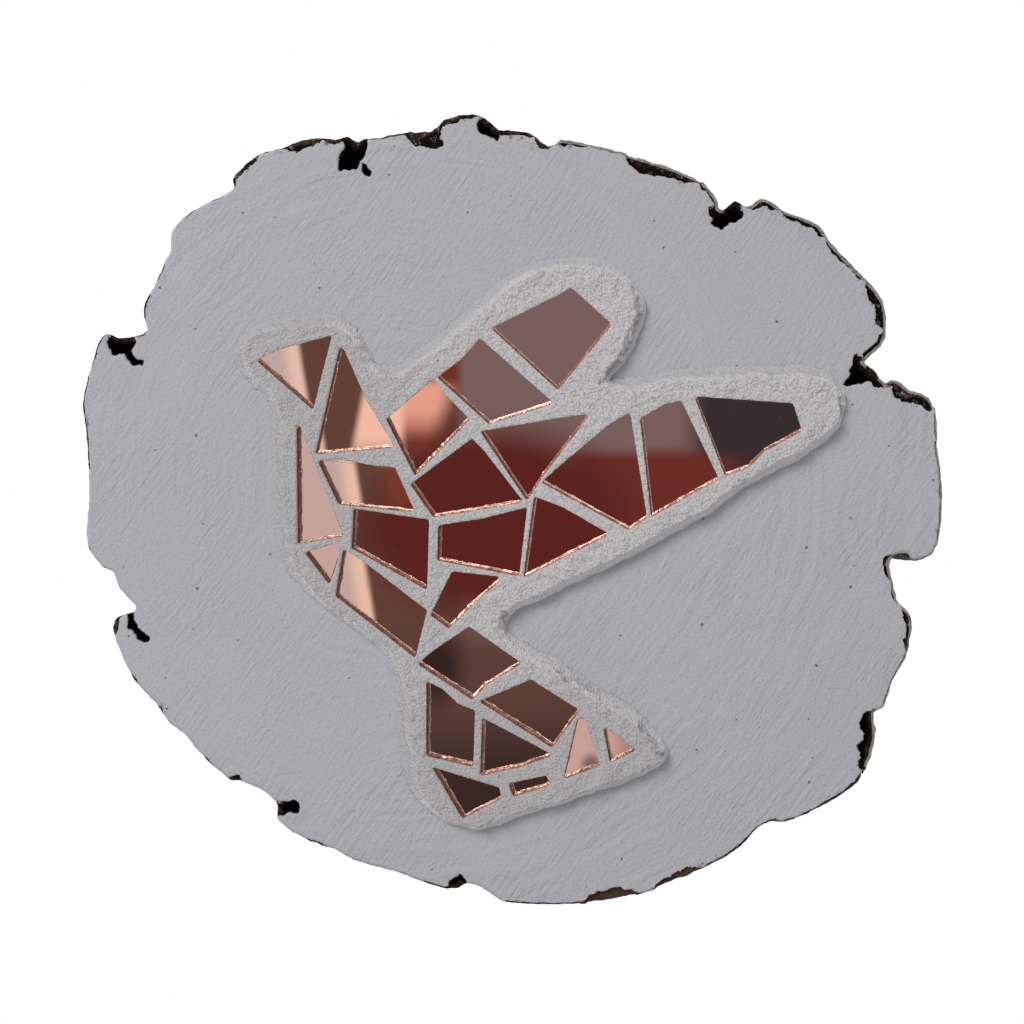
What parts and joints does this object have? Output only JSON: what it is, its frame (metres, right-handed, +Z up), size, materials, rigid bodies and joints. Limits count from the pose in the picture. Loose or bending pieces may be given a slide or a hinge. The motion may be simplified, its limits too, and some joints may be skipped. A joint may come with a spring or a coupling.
{
  "type": "mosaic panel",
  "caption": "Wall panel cut across a tree trunk, painted on its face, with a flying bird in mirror shards set in a raised bed of grout.",
  "frame": {"origin": "middle of the flat sawn back, in the plane that lies against the wall", "axes": "+Z up as the panel hangs, +X to the right seen from the front, +Y into the wall; the face looks towards -Y"},
  "size_m": [0.1574, 0.0172, 0.1448],
  "materials": {
    "painted_wood": "matt chalk paint brushed thinly over a sawn face, growth rings and saw marks showing, dark bark at the rim",
    "grout": "matt, sandy cement grout",
    "copper_mirror": "polished clear glass over a rose copper mirror film, hand-cut edges"
  },
  "bodies": {
    "root": {"wood_slice": "painted_wood", "grout_bed": "grout", "shard_head": "copper_mirror", "shard_neck": "copper_mirror", "shard_throat": "copper_mirror", "shard_upper_breast": "copper_mirror", "shard_middle_breast": "copper_mirror", "shard_small_belly": "copper_mirror", "shard_belly": "copper_mirror", "shard_shoulder": "copper_mirror", "shard_back": "copper_mirror", "shard_rump": "copper_mirror", "shard_raised_wing_inner": "copper_mirror", "shard_raised_wing_tip": "copper_mirror", "shard_wing_root": "copper_mirror", "shard_wing_root_lower": "copper_mirror", "shard_wing_inner": "copper_mirror", "shard_wing_middle": "copper_mirror", "shard_wing_outer": "copper_mirror", "shard_wing_tip": "copper_mirror", "shard_tail_root": "copper_mirror", "shard_tail_left": "copper_mirror", "shard_tail_upper": "copper_mirror", "shard_tail_middle": "copper_mirror", "shard_tail_lower_left": "copper_mirror", "shard_tail_lower_small": "copper_mirror", "shard_tail_right_inner": "copper_mirror", "shard_tail_right_outer": "copper_mirror"}
  },
  "joints": []
}
